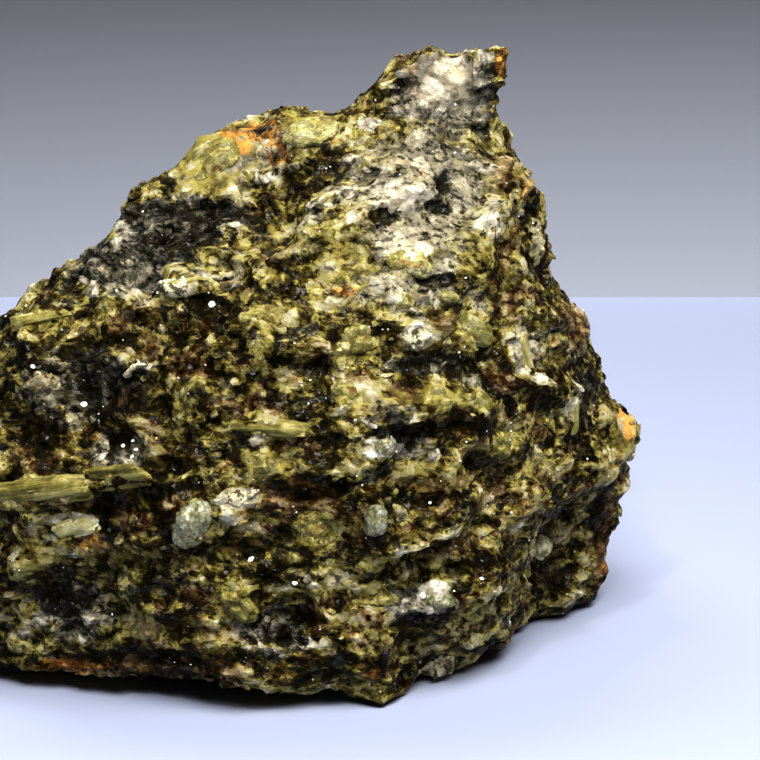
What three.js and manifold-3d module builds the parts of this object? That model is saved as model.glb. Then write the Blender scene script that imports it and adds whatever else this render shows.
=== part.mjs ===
// A hand specimen of spodumene-bearing rock: one broken lump of layered, coarse-grained rock with
// crystals standing a little proud of it. Millimetres, +Z up, and it rests on three worn flats.
//
// The lump starts as a blank, the convex hull of its broken corners. A ball of fine triangles is
// shrunk onto the blank from all sides, and on the way each point is moved in or out by the relief:
// layers that broke back in ledges, angular chips, lumps, named hollows and swellings.
// The crystals are flat-faced solids that are joined to the lump, so the specimen is one solid.
import * as THREE from "three";
import { ConvexGeometry } from "three/addons/geometries/ConvexGeometry.js";
import { ConvexHull } from "three/addons/math/ConvexHull.js";
import { ImprovedNoise } from "three/addons/math/ImprovedNoise.js";
import { mergeVertices } from "three/addons/utils/BufferGeometryUtils.js";
import Module from "manifold-3d";

const point = (x, y, z) => new THREE.Vector3(x, y, z);

// The middle of the lump, which every ray of the shrinking ball starts from.
const HEART = point(-18, 6, 48);

// The broken corners of the blank. +X is to the right of the best side, and that side faces -Y.
const CORNERS = {
  summit: point(20, 16, 123),
  beak: point(25, 14, 119),
  summitBack: point(14, 26, 117),
  shoulder: point(3, 24, 116.5),
  upperRim: point(-9, 28, 109),
  crownRim: point(-27, 24, 106),
  crownEnd: point(-41, 14, 99),
  leftRim: point(-58, 9, 86),
  leftBrow: point(-78, 3, 71),
  collarRight: point(22, 3, 101),
  flankTop: point(29, 14, 90),
  flankMiddle: point(33, 16, 75),
  flankWaist: point(38, 18, 62),
  flankShoulder: point(44, 21, 54),
  flankBelly: point(54.5, 22, 38),
  flankLow: point(51, 22, 13),
  ridgeRight: point(29, -14, 69),
  ridgeMiddle: point(4, -26, 74),
  ridgeLeft: point(-26, -27, 76),
  ridgeFarLeft: point(-72, -16, 66),
  bellyRight: point(31, -19, 38),
  bellyMiddle: point(2, -41, 40),
  bellyLeft: point(-34, -42, 42),
  bellyFarLeft: point(-80, -30, 40),
  cheekRight: point(27, -16, 10),
  heelRight: point(34, 0, -1.5),
  soleRight: point(46, 23, -1.5),
  chinMiddle: point(2, -40, 3),
  chinLeft: point(-46, -37, 0),
  chinFarLeft: point(-82, -26, 0),
  endTop: point(-93, 4, 54),
  endMiddle: point(-104, 0, 32),
  endLow: point(-97, 2, 6),
  backTop: point(-2, 44, 98),
  backRight: point(33, 46, 66),
  backBelly: point(44, 52, 30),
  backMiddle: point(-24, 57, 58),
  backLeft: point(-70, 44, 56),
  backFarLeft: point(-92, 30, 26),
  backLow: point(-30, 59, 22),
};

// The three feet: where the lump touches what it stands on, each a little below z = 0 so that it is
// worn to a flat there.
const FEET = {
  front: point(1, -37, -3),
  leftBack: point(-76, 24, -2.5),
  rightBack: point(38, 38, -2.5),
};

const CORNER_ROUNDING = 0.9;

// The layering: its upward normal, the usual thickness of a layer, and how far one stands proud.
const LAYERS = {
  normal: point(-0.14, -0.26, 0.95).normalize(),
  thickness: 9,
  proud: 1.7,
  waviness: 5,
  wavelength: 46,
  riser: 0.14,
};

// Angular chips: cells of broken rock, each with a flat face tilted its own way.
const CHIPS = [
  { size: 17, tilt: 0.3, most: 1.8 },
  { size: 8.5, tilt: 0.36, most: 1.3 },
];

// Rounded lumps and pits of two sizes.
const LUMPS = [
  { size: 30, height: 2.4 },
  { size: 11, height: 1.6 },
];

// Places where the lump is hollowed or swollen more than its relief does by chance: the middle of
// each, its reach along X, Y and Z, and how far the surface moves, inwards where that is negative.
const FEATURES = {
  hollowUnderBeak: { at: point(34, 15, 103), reach: point(9, 12, 8), move: -6 },
  hollowFlank: { at: point(40, 16, 74), reach: point(9, 18, 10), move: -3 },
  flankSwelling: { at: point(54, 18, 36), reach: point(8, 14, 10), move: 2 },
  dipBesideSummit: { at: point(-8, 20, 113), reach: point(8, 20, 9), move: -2 },
  crownSwelling: { at: point(-31, 14, 104), reach: point(14, 12, 9), move: 2 },
  browGroove: { at: point(-38, -8, 88), reach: point(26, 12, 4), move: -2.4 },
  brokenPocket: { at: point(-24, -44, 35), reach: point(9, 12, 6), move: -4.5 },
  frontLedge: { at: point(12, -38, 58), reach: point(24, 14, 6), move: 2.6 },
  ledgeShade: { at: point(4, -42, 65), reach: point(26, 14, 5), move: -2 },
  lowRightLump: { at: point(18, -30, 22), reach: point(12, 14, 15), move: 3.5 },
  lowRightRecess: { at: point(42, -4, 19), reach: point(11, 14, 11), move: -5 },
  shelfOverRecess: { at: point(40, 0, 34), reach: point(12, 14, 7), move: 2 },
  chinUndercut: { at: point(-48, -30, 0), reach: point(34, 10, 4), move: -2 },
  archLeft: { at: point(-34, -2, -2), reach: point(22, 18, 6), move: -4 },
  archRight: { at: point(16, 10, -2), reach: point(12, 12, 6), move: -4 },
  archBack: { at: point(-22, 40, -2), reach: point(30, 16, 6), move: -4 },
  backScoop: { at: point(-40, 60, 62), reach: point(26, 16, 18), move: -5 },
  backSwelling: { at: point(14, 58, 44), reach: point(18, 12, 16), move: 3 },
};

// Flat-faced crystals: a point of the lump's surface to set each at, the way its length runs, how far
// it leans about its length in radians, and its length, width and thickness.
const BLADES = {
  longBlade: { at: point(-60, -36, 44), along: point(1, -0.1, 0.24), lean: 0.3, size: [35, 5.4, 7] },
  browBlade: { at: point(-37, -18, 79), along: point(1, 0, 0.1), lean: 0.4, size: [13, 4.6, 5] },
  stripedBlade: { at: point(-56, -34, 32), along: point(1, 0, 0.3), lean: 0.2, size: [13, 7, 6] },
  fanBlade: { at: point(19, -12, 67), along: point(1, 0, 0.1), lean: 0.5, size: [10, 7, 6] },
  ledgeBlade: { at: point(9, -29, 58), along: point(1, 0.2, 0.1), lean: 0.3, size: [16, 5, 5] },
  endBlade: { at: point(-104, 8, 40), along: point(0, 1, 0.2), lean: 0.3, size: [24, 6, 6] },
  backBladeHigh: { at: point(-14, 60, 70), along: point(1, 0, 0.16), lean: 0.3, size: [30, 7, 7] },
  backBladeLow: { at: point(-58, 58, 34), along: point(1, 0, -0.1), lean: -0.3, size: [22, 6, 7] },
  backBladeRight: { at: point(30, 58, 40), along: point(0.5, 0, 0.8), lean: 0.4, size: [17, 6, 6] },
  roofBlade: { at: point(-66, 22, 80), along: point(1, 0.4, 0.5), lean: 0.3, size: [16, 6, 6] },
};
const BLOCKS = {
  beakBlock: { at: point(20, 15, 116), along: point(0.5, 0.1, 1), lean: 0.3, size: [9, 9, 8] },
  summitBlock: { at: point(11, 12, 113), along: point(1, 0.1, 0.5), lean: 0.12, size: [12, 10, 8] },
  crownBlock: { at: point(-36, 9, 97), along: point(1, 0, 0.9), lean: 0.24, size: [15, 11, 8] },
  paleBlock: { at: point(-14, 8, 105), along: point(1, 0, 0.3), lean: 0.14, size: [10, 10, 8] },
  creamBlock: { at: point(8, -21, 70), along: point(1, 0, 0.2), lean: 0.2, size: [9, 7, 7] },
  flankBlock: { at: point(51, 12, 43), along: point(0.2, 0.5, 1), lean: 0.2, size: [10, 7, 7] },
  footBlock: { at: point(10, -32, 8), along: point(0.6, 0.3, 0.8), lean: 0.2, size: [9, 8, 8] },
  backBlock: { at: point(-2, 60, 30), along: point(1, 0, 0.5), lean: 0.2, size: [15, 11, 9] },
  backBlockHigh: { at: point(-36, 52, 78), along: point(1, 0, 0.3), lean: -0.2, size: [12, 9, 8] },
  endBlock: { at: point(-100, -14, 24), along: point(0.3, 1, 0), lean: 0.2, size: [12, 9, 8] },
};
const GRAINS = {
  glassyGrain: { at: point(-35, -41, 38), size: [8, 10, 8] },
  glassyGrainRight: { at: point(-1, -38, 38), size: [7, 9, 7] },
  glassyGrainHigh: { at: point(0, -35, 51), size: [5, 6, 5] },
  roundGrain: { at: point(-3, -23, 69), size: [8, 7, 7] },
  greyGrain: { at: point(14, -33, 21), size: [10, 6, 6] },
  recessGrain: { at: point(30, -16, 26), size: [6, 7, 6] },
  backGrain: { at: point(-50, 56, 50), size: [9, 9, 8] },
  backGrainRight: { at: point(38, 56, 22), size: [8, 8, 8] },
  endGrain: { at: point(-104, 16, 20), size: [8, 8, 8] },
};

// How deep each crystal's middle is under the surface, as a share of its thickness.
const SUNK = 0.38;

const BALL_DETAIL = 18;
const SPREAD_ROUNDS = 14;
const FARTHEST = 200;
const SHRINK_STEPS = 24;
const SHRINK_FROM = 1.3;
const SHRINK_TO = 0.5;

const perlin = new ImprovedNoise();

// Smooth noise from about -1 to 1 that repeats about every `size` millimetres; `seed` picks another.
function noise(p, size, seed) {
  return perlin.noise(p.x / size + seed * 17.3, p.y / size - seed * 9.1, p.z / size + seed * 5.7);
}

// A number from 0 to 1 that is always the same for the same four whole numbers.
function chance(i, j, k, seed) {
  const s = Math.sin(i * 127.1 + j * 311.7 + k * 74.7 + seed * 53.9) * 43758.5453;
  return s - Math.floor(s);
}

const blankFaces = new ConvexHull()
  .setFromPoints([...Object.values(CORNERS), ...Object.values(FEET)])
  .faces.map((face) => ({ normal: face.normal.clone(), constant: face.constant }));

// How far p is outside the blank, in millimetres, with the blank's edges rounded off a little.
function outsideBlank(p) {
  let sum = 0;
  for (const face of blankFaces) {
    sum += Math.exp((face.normal.dot(p) - face.constant) / CORNER_ROUNDING);
  }
  return CORNER_ROUNDING * Math.log(sum);
}

// The step-like relief of layers that broke back by different amounts.
function layerRelief(p) {
  const wave = LAYERS.waviness * noise(p, LAYERS.wavelength, 1);
  const height = (LAYERS.normal.dot(p) + wave) / LAYERS.thickness;
  const layer = Math.floor(height);
  const proudOf = (k) => noise(point(p.x + 61 * k, p.y - 37 * k, p.z), 34, 2) * 2;
  const rise = THREE.MathUtils.smoothstep(height - layer, 0, LAYERS.riser);
  return LAYERS.proud * THREE.MathUtils.lerp(proudOf(layer - 1), proudOf(layer), rise);
}

// How deep p is under the flat, tilted face of the chip that broke off there, as a number up to 0.
function chipRelief(p, { size, tilt, most }, seed) {
  const cell = p.clone().divideScalar(size).floor();
  let nearest = Infinity;
  let relief = 0;
  for (let i = cell.x - 1; i <= cell.x + 1; i++) {
    for (let j = cell.y - 1; j <= cell.y + 1; j++) {
      for (let k = cell.z - 1; k <= cell.z + 1; k++) {
        const [a, b, c] = [0, 1, 2].map((n) => chance(i, j, k, seed + n));
        const middle = point(i + a, j + b, k + c).multiplyScalar(size);
        const away = p.clone().sub(middle);
        if (away.lengthSq() >= nearest) continue;
        nearest = away.lengthSq();
        relief = 2 * tilt * away.dot(point(b - 0.5, c - 0.5, a - 0.5)) - most * c;
      }
    }
  }
  return THREE.MathUtils.clamp(relief, -1.6 * most, 0);
}

// How far the named hollows and swellings move the surface at p.
function featureRelief(p) {
  let moved = 0;
  for (const { at, reach, move } of Object.values(FEATURES)) {
    const away = p.clone().sub(at).divide(reach).length();
    moved += move * (1 - THREE.MathUtils.smoothstep(away, 0.3, 1.6));
  }
  return moved;
}

// The distance of p outside the finished lump, before its crystals. It is below zero inside.
function outsideLump(p) {
  let relief = layerRelief(p) + featureRelief(p);
  CHIPS.forEach((chip, n) => (relief += chipRelief(p, chip, 11 + 7 * n)));
  LUMPS.forEach((lump, n) => (relief += lump.height * noise(p, lump.size, 5 + n)));
  return Math.max(outsideBlank(p) - relief, -p.z);
}

// How far from the heart, along `direction`, `outsideOf` turns from below zero to above it.
function reachAlong(direction, outsideOf, from, to) {
  let inside = from;
  let outside = to;
  for (let n = 0; n < SHRINK_STEPS; n++) {
    const middle = (inside + outside) / 2;
    if (outsideOf(HEART.clone().addScaledVector(direction, middle)) > 0) outside = middle;
    else inside = middle;
  }
  return (inside + outside) / 2;
}

// Where the ray from the heart through p leaves the blank, and where it leaves the lump.
function blankThrough(p) {
  const direction = p.clone().sub(HEART).normalize();
  return HEART.clone().addScaledVector(direction, reachAlong(direction, outsideBlank, 0, FARTHEST));
}
function surfaceThrough(p) {
  const direction = p.clone().sub(HEART).normalize();
  const blank = reachAlong(direction, outsideBlank, 0, FARTHEST);
  const reach = reachAlong(direction, outsideLump, blank * SHRINK_TO, blank * SHRINK_FROM);
  return HEART.clone().addScaledVector(direction, reach);
}

// The outward direction of the lump's surface around p.
function outwardAt(p) {
  const step = 5;
  const slope = (axis) => outsideLump(p.clone().add(axis)) - outsideLump(p.clone().sub(axis));
  return point(slope(point(step, 0, 0)), slope(point(0, step, 0)), slope(point(0, 0, step))).normalize();
}

// Moves each corner towards the middle of the triangles around it, the larger ones counting more.
function spreadEvenly(corners, triangles) {
  const sums = corners.map(() => point(0, 0, 0));
  const weights = corners.map(() => 0);
  for (let n = 0; n < triangles.length; n += 3) {
    const around = [triangles[n], triangles[n + 1], triangles[n + 2]];
    const triangle = new THREE.Triangle(...around.map((k) => corners[k]));
    const middle = triangle.getMidpoint(point(0, 0, 0));
    const area = triangle.getArea();
    around.forEach((k) => sums[k].addScaledVector(middle, area));
    around.forEach((k) => (weights[k] += area));
  }
  return sums.map((sum, k) => sum.divideScalar(weights[k]));
}

// The lump: a ball of triangles shrunk onto the blank, spread evenly over it and given the relief.
function lumpGeometry() {
  const ball = new THREE.IcosahedronGeometry(1, BALL_DETAIL);
  ball.deleteAttribute("normal");
  ball.deleteAttribute("uv");
  const lump = mergeVertices(ball, 1e-4);
  const triangles = lump.index.array;
  const positions = lump.getAttribute("position");
  let corners = Array.from({ length: positions.count }, (_, n) => {
    return blankThrough(new THREE.Vector3().fromBufferAttribute(positions, n).add(HEART));
  });
  for (let round = 0; round < SPREAD_ROUNDS; round++) {
    corners = spreadEvenly(corners, triangles).map(blankThrough);
  }
  corners.forEach((corner, n) => positions.setXYZ(n, ...surfaceThrough(corner)));
  return lump;
}

// A flattened prism with bevelled long edges and chisel ends, its length along X and centred.
function bladeGeometry([length, width, thickness]) {
  const corners = [];
  for (const side of [-1, 1]) {
    for (const [across, out] of [[1, 0.3], [0.55, 1], [-0.55, 1], [-1, 0.3], [-0.7, -1], [0.7, -1]]) {
      const reach = length / 2 - (across * side + 1) * width * 0.35;
      corners.push(point(side * reach, (across * width) / 2, (out * thickness) / 2));
    }
  }
  return new ConvexGeometry(corners);
}

// A cleavage block that is sheared along X, its upper corners broken off by different amounts.
function blockGeometry([length, width, thickness]) {
  const corners = [];
  for (const [x, y, broken] of [[1, 1, 0.4], [1, -1, 0.1], [-1, -1, 0.22], [-1, 1, 0.06]]) {
    const corner = (inX, inY, z) => {
      const sheared = x * (1 - inX) + 0.25 * y;
      corners.push(point((sheared * length) / 2, (y * (1 - inY) * width) / 2, (z * thickness) / 2));
    };
    corner(0, 0, -1);
    corner(broken, 0, 1);
    corner(0, broken, 1);
    corner(0, 0, 1 - 1.4 * broken);
  }
  return new ConvexGeometry(corners);
}

// A rounded glassy grain with a few flat sides.
function grainGeometry([length, width, height], seed) {
  const corners = new THREE.DodecahedronGeometry(0.5).getAttribute("position");
  const points = [];
  for (let n = 0; n < corners.count; n++) {
    const p = new THREE.Vector3().fromBufferAttribute(corners, n);
    const out = 1 + 0.25 * (noise(p, 0.6, seed) + 0.5);
    points.push(point(p.x * length * out, p.y * width * out, p.z * height * out));
  }
  return new ConvexGeometry(points);
}

// Sets a crystal in the lump where the ray through `at` leaves it. Its length runs roughly along
// `along`, from a point of the surface to another.
function setInPlace(geometry, { at, along = point(1, 0, 0), lean = 0, size }) {
  const reach = along.clone().setLength(size[0] * 0.4);
  const surfaceBy = (steps) => surfaceThrough(at.clone().addScaledVector(reach, steps));
  const foot = surfaceBy(0);
  const lengthwise = surfaceBy(1).sub(surfaceBy(-1)).normalize();
  const across = outwardAt(foot).cross(lengthwise).normalize();
  const outward = lengthwise.clone().cross(across);
  const place = new THREE.Matrix4().makeBasis(lengthwise, across, outward);
  place.setPosition(foot.addScaledVector(outward, -SUNK * size[2]));
  return geometry.rotateX(lean).applyMatrix4(place);
}

const wasm = await Module();
wasm.setup();

// A closed three.js geometry as a solid that can be joined to others.
function solidOf(geometry) {
  geometry.deleteAttribute("normal");
  const merged = mergeVertices(geometry, 1e-3);
  const vertProperties = merged.getAttribute("position").array;
  const triVerts = new Uint32Array(merged.index.array);
  return new wasm.Manifold(new wasm.Mesh({ numProp: 3, vertProperties, triVerts }));
}

// The other way round: a solid as a three.js geometry.
function geometryOf(solid) {
  const { vertProperties, triVerts, numProp } = solid.getMesh();
  const shared = new THREE.InterleavedBuffer(vertProperties, numProp);
  const geometry = new THREE.BufferGeometry();
  geometry.setAttribute("position", new THREE.InterleavedBufferAttribute(shared, 3, 0));
  geometry.setIndex(new THREE.BufferAttribute(triVerts, 1));
  return geometry.toNonIndexed();
}

// The whole specimen: the lump with all of its crystals joined to it.
function specimenGeometry() {
  let specimen = solidOf(lumpGeometry());
  const join = (geometry, crystal) => {
    specimen = specimen.add(solidOf(setInPlace(geometry, crystal)));
  };
  Object.values(BLADES).forEach((blade) => join(bladeGeometry(blade.size), blade));
  Object.values(BLOCKS).forEach((block) => join(blockGeometry(block.size), block));
  Object.values(GRAINS).forEach((grain, n) => join(grainGeometry(grain.size, n), grain));
  return geometryOf(specimen);
}

// The origin is the middle of the underside of the specimen's own box.
const geometry = specimenGeometry();
geometry.computeBoundingBox();
const middle = geometry.boundingBox.getCenter(new THREE.Vector3());
geometry.translate(-middle.x, -middle.y, -geometry.boundingBox.min.z);
geometry.computeVertexNormals();

const rock = new THREE.Mesh(
  geometry,
  new THREE.MeshStandardMaterial({ color: 0x6b6436, roughness: 0.55, metalness: 0, flatShading: true }),
);
rock.name = "spodumene_rock";

const specimen = new THREE.Group();
specimen.add(rock);

export default specimen;
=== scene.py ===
"""The spodumene specimen: a broken lump of coarse rock with crystals grown through it."""

import math
import random
import bpy
import numpy as np
from bpy.props import FloatProperty, FloatVectorProperty, PointerProperty
from mathutils import Euler, Matrix, Vector


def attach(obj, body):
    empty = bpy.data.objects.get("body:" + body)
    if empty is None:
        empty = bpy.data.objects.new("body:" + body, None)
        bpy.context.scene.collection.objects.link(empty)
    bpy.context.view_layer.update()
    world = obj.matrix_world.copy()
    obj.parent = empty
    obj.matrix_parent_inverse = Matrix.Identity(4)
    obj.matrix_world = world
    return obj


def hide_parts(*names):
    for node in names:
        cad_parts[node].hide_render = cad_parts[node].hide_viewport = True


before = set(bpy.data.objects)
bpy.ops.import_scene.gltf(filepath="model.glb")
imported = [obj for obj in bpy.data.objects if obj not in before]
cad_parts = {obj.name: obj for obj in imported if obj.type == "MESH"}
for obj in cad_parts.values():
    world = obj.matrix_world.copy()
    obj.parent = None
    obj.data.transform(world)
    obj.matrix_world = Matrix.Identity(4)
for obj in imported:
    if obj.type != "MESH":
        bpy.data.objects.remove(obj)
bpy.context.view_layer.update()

bl_info = {
    "name": "Spodumene specimen",
    "version": (1, 0, 0),
    "blender": (4, 5, 0),
    "location": "3D View > Sidebar > Specimen",
    "description": "Builds the surface, crystals and stage of a spodumene hand specimen",
    "category": "Object",
}

MM = 0.001
ROCK_NODE = "spodumene_rock"

# The photograph's viewpoint: where the camera stands, how far it looks down, and its lens.
VIEWPOINT = Vector((24.76, -565.8, 219.7)) * MM
PITCH = math.radians(16.5)
PIXELS_ACROSS = 760
FOCAL_PIXELS = 2900.0
SENSOR_MM = 36.0
PIXEL = 0.195 * MM

VIEW_FORWARD = Vector((0, math.cos(PITCH), -math.sin(PITCH)))
VIEW_DOWN = Vector((0, -math.sin(PITCH), -math.cos(PITCH)))
VIEW_RIGHT = Vector((1, 0, 0))

# The layering of the rock dips a little to the left and towards the best side.
LAYER_TURN = Euler((math.radians(-12), math.radians(-7), math.radians(4)))

BACKDROP_AT = 262 * MM
# Height up the backdrop over which it darkens, as painted shade.
BACKDROP_SHADE_HEIGHT = 100 * MM


# Sizes and colours


def length(name, description, millimetres):
    """A length that the user may change."""
    return FloatProperty(
        name=name, description=description, default=millimetres * MM, min=0.0,
        subtype="DISTANCE", unit="LENGTH",
    )


def colour(name, description, shade):
    """A colour that the user may change."""
    return FloatVectorProperty(
        name=name, description=description, default=shade, min=0.0, max=1.0, subtype="COLOR"
    )


class RockSettings(bpy.types.PropertyGroup):
    """Sizes and colours of the rock's surface"""

    detail: length("Detail", "Size of the surface's smallest faces", 0.88)
    coarse_grain: length("Coarse grain", "Width of the large grains", 5.5)
    fine_grain: length("Fine grain", "Width of the small grains", 2.3)
    lump_height: length("Lumps", "Height of the surface's lumps", 2.8)
    dark: colour("Dark", "Dark minerals", (0.0045, 0.0028, 0.0008))
    brown: colour("Brown", "Iron-stained grains", (0.110, 0.070, 0.025))
    olive: colour("Olive", "Olive spodumene grains", (0.315, 0.272, 0.078))
    grey: colour("Grey", "Warm grey grains", (0.285, 0.255, 0.185))
    pale: colour("Pale", "Cream feldspar grains", (0.57, 0.52, 0.41))


class CrystalSettings(bpy.types.PropertyGroup):
    """Sizes and colours of the crystals that stand out of the rock"""

    detail: length("Detail", "Size of a crystal's smallest faces", 0.45)
    thickness: length("Thickness", "Thickness of the blades and blocks", 5.0)
    spodumene: colour("Spodumene", "Olive of the blades", (0.29, 0.255, 0.065))
    feldspar: colour("Feldspar", "Cream of the blocks", (0.56, 0.50, 0.32))
    quartz: colour("Quartz", "Grey-green of the glassy grains", (0.40, 0.385, 0.19))
    small_grain: length("Small grains", "Half width of the small grains", 1.25)


class StageSettings(bpy.types.PropertyGroup):
    """The floor, the backdrop and the light"""

    floor: colour("Floor", "Colour of the floor", (0.405, 0.435, 0.55))
    backdrop: colour("Backdrop", "Colour of the backdrop near the floor", (0.45, 0.46, 0.49))
    light_power: FloatProperty(
        name="Light", description="Power of the light from above", default=10.0, min=0.0,
        subtype="POWER", unit="POWER",
    )


# Node trees


class Graph:
    """Adds nodes to a node tree; an input is a number, a vector or another node's socket."""

    def __init__(self, tree):
        self.tree = tree

    def node(self, kind, inputs=None, **settings):
        node = self.tree.nodes.new(kind)
        for name, value in settings.items():
            setattr(node, name, value)
        for name, value in (inputs or {}).items():
            self.set(node.inputs[name], value)
        return node

    def set(self, socket, value):
        if isinstance(value, bpy.types.NodeSocket):
            self.tree.links.new(value, socket)
        elif value is not None:
            socket.default_value = value

    def math(self, operation, a, b=0.0, c=0.0, clamp=False):
        node = self.node("ShaderNodeMath", {0: a, 1: b, 2: c}, operation=operation, use_clamp=clamp)
        return node.outputs[0]

    def add(self, *values):
        total = values[0]
        for value in values[1:]:
            total = self.math("ADD", total, value)
        return total

    def centred(self, value, gain):
        """A value that runs from 0 to 1, moved to lie around 0 and multiplied by the gain."""
        return self.math("MULTIPLY_ADD", value, gain, -gain / 2)

    def toward(self, value, target, share, pull):
        """The value moved towards the target by the share times the pull."""
        way = self.math("MULTIPLY", self.math("SUBTRACT", target, value), pull)
        return self.math("MULTIPLY_ADD", way, share, value)

    def vector(self, operation, a, b=None, scale=None):
        inputs = {0: a, 3: scale} if operation == "SCALE" else {0: a, 1: b}
        node = self.node("ShaderNodeVectorMath", inputs, operation=operation)
        return node.outputs["Value" if operation in {"DOT_PRODUCT", "LENGTH"} else "Vector"]

    def noise(self, at, size, detail=2.0, rough=0.5, colour=False):
        inputs = {"Vector": at, "Scale": 1 / size, "Detail": detail, "Roughness": rough}
        return self.node("ShaderNodeTexNoise", inputs).outputs["Color" if colour else 0]

    def voronoi(self, at, size, feature="F1"):
        return self.node("ShaderNodeTexVoronoi", {"Vector": at, "Scale": 1 / size}, feature=feature)

    def chances(self, at, size):
        """Three numbers by chance for each of the cells of the given size."""
        cells = self.voronoi(at, size)
        return self.node("ShaderNodeSeparateColor", {0: cells.outputs["Color"]}).outputs

    def ease(self, value, start, end, low=0.0, high=1.0):
        inputs = {"Value": value, "From Min": start, "From Max": end, "To Min": low, "To Max": high}
        node = self.node("ShaderNodeMapRange", inputs, interpolation_type="SMOOTHSTEP")
        return node.outputs[0]

    def ramp(self, value, stops):
        node = self.node("ShaderNodeValToRGB", {0: value})
        elements = node.color_ramp.elements
        while len(elements) < len(stops):
            elements.new(0.5)
        for element, (place, shade) in zip(elements, stops):
            element.position = place
            element.color = (*shade, 1)
        return node.outputs["Color"]

    def blend(self, share, a, b, mode="MIX"):
        inputs = {0: share, 6: a, 7: b}
        node = self.node("ShaderNodeMix", data_type="RGBA", blend_type=mode)
        for name, value in inputs.items():
            self.set(node.inputs[name], value)
        return node.outputs[2]

    def darken(self, shade, light):
        """The colour multiplied by a number."""
        return self.vector("SCALE", shade, scale=light)

    def attribute(self, name):
        return self.node("ShaderNodeAttribute", attribute_name=name)

    def warped(self, at, size, reach):
        """The position moved about by noise, so that what follows has ragged borders."""
        noise = self.noise(at, size, 2.0, colour=True)
        moved = self.vector("SUBTRACT", noise, (0.5, 0.5, 0.5))
        return self.vector("ADD", at, self.vector("SCALE", moved, scale=2 * reach))


def grain_space(graph, position):
    """The position turned to the layering and squeezed, so that grains come out elongated."""
    turned = graph.node("ShaderNodeVectorRotate", {"Vector": position}, rotation_type="EULER_XYZ")
    turned.inputs["Rotation"].default_value = LAYER_TURN
    squeezed = graph.vector("MULTIPLY", turned.outputs[0], (0.74, 0.85, 1.0))
    return graph.warped(squeezed, 8 * MM, 0.9 * MM)


def facets(graph, space, size, slope, step):
    """The height of a surface of flat grain faces, each tilted and set proud by chance."""
    cells = graph.voronoi(space, size)
    tilt = graph.vector("SUBTRACT", cells.outputs["Color"], (0.5, 0.5, 0.5))
    away = graph.vector("SUBTRACT", space, cells.outputs["Position"])
    tilted = graph.math("MULTIPLY", graph.vector("DOT_PRODUCT", tilt, away), slope)
    chance = graph.node("ShaderNodeSeparateXYZ", {0: tilt}).outputs["Z"]
    return graph.math("MULTIPLY_ADD", chance, step, tilted)


def geometry_group(name):
    """An empty geometry node group with a geometry input and output."""
    group = bpy.data.node_groups.new(name, "GeometryNodeTree")
    group.interface.new_socket("Geometry", in_out="INPUT", socket_type="NodeSocketGeometry")
    group.interface.new_socket("Geometry", in_out="OUTPUT", socket_type="NodeSocketGeometry")
    graph = Graph(group)
    return group, graph, graph.node("NodeGroupInput"), graph.node("NodeGroupOutput")


def kept_as(graph, geometry, name, value, kind="FLOAT_VECTOR", domain="POINT"):
    """The geometry with the value stored on it under a name."""
    node = graph.node("GeometryNodeStoreNamedAttribute", data_type=kind, domain=domain)
    for socket, content in zip(("Geometry", "Name", "Value"), (geometry, name, value)):
        graph.set(node.inputs[socket], content)
    return node.outputs[0]


def raised_group(name, label, relief):
    """A node group that keeps the position under a label, then raises the surface by the relief."""
    group, graph, start, end = geometry_group(name)
    position = graph.node("GeometryNodeInputPosition").outputs[0]
    normal = graph.node("GeometryNodeInputNormal").outputs[0]
    kept = kept_as(graph, start.outputs[0], label, position)
    offset = graph.vector("SCALE", normal, scale=relief(graph, position))
    moved = graph.node("GeometryNodeSetPosition", {"Geometry": kept, "Offset": offset})
    graph.set(end.inputs[0], moved.outputs[0])
    return group


# Modelling


def pick(*pieces):
    """Selects only these objects and makes the first one active."""
    bpy.ops.object.select_all(action="DESELECT")
    for piece in pieces:
        piece.select_set(True)
    bpy.context.view_layer.objects.active = pieces[0]


def apply_modifier(piece, modifier):
    pick(piece)
    bpy.ops.object.modifier_apply(modifier=modifier.name)


def use_group(piece, group):
    """Runs a geometry node group on a piece and applies it."""
    modifier = piece.modifiers.new(group.name, "NODES")
    modifier.node_group = group
    apply_modifier(piece, modifier)


def even_faces(piece, size):
    """Covers a closed piece with faces of one size."""
    remesh = piece.modifiers.new("Even faces", "REMESH")
    remesh.mode = "VOXEL"
    remesh.voxel_size = size
    apply_modifier(piece, remesh)


def own_copy(source, name):
    """A copy of an object with a mesh of its own."""
    pick(source)
    bpy.ops.object.duplicate(linked=False)
    piece = bpy.context.view_layer.objects.active
    piece.name = piece.data.name = name
    return piece


def merged_copy(node, name):
    """A merged copy of a CAD node's mesh, as a new piece."""
    piece = own_copy(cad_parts[node], name)
    bpy.ops.object.mode_set(mode="EDIT")
    bpy.ops.mesh.select_all(action="SELECT")
    bpy.ops.mesh.remove_doubles(threshold=0.01 * MM)
    bpy.ops.mesh.normals_make_consistent(inside=False)
    bpy.ops.object.mode_set(mode="OBJECT")
    return piece


def cut_off(cuts):
    """In edit mode, cuts the mesh along planes, each a point and an outward direction."""
    for point, outward in cuts:
        bpy.ops.mesh.select_all(action="SELECT")
        bpy.ops.mesh.bisect(plane_co=point, plane_no=outward, use_fill=True, clear_outer=True)


def broken_shape(name, add, cuts, bevel=0.0):
    """A closed shape about 2 across: a simple form cut along planes, its edges worn."""
    bpy.ops.object.select_all(action="DESELECT")
    add()
    piece = bpy.context.object
    piece.name = piece.data.name = name
    bpy.ops.object.mode_set(mode="EDIT")
    cut_off(cuts)
    bpy.ops.mesh.select_all(action="SELECT")
    if bevel:
        bpy.ops.mesh.bevel(offset=bevel, segments=2, affect="EDGES")
    bpy.ops.mesh.normals_make_consistent(inside=False)
    bpy.ops.object.mode_set(mode="OBJECT")
    return piece


def remove(piece):
    bpy.data.objects.remove(piece, do_unlink=True)


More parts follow.
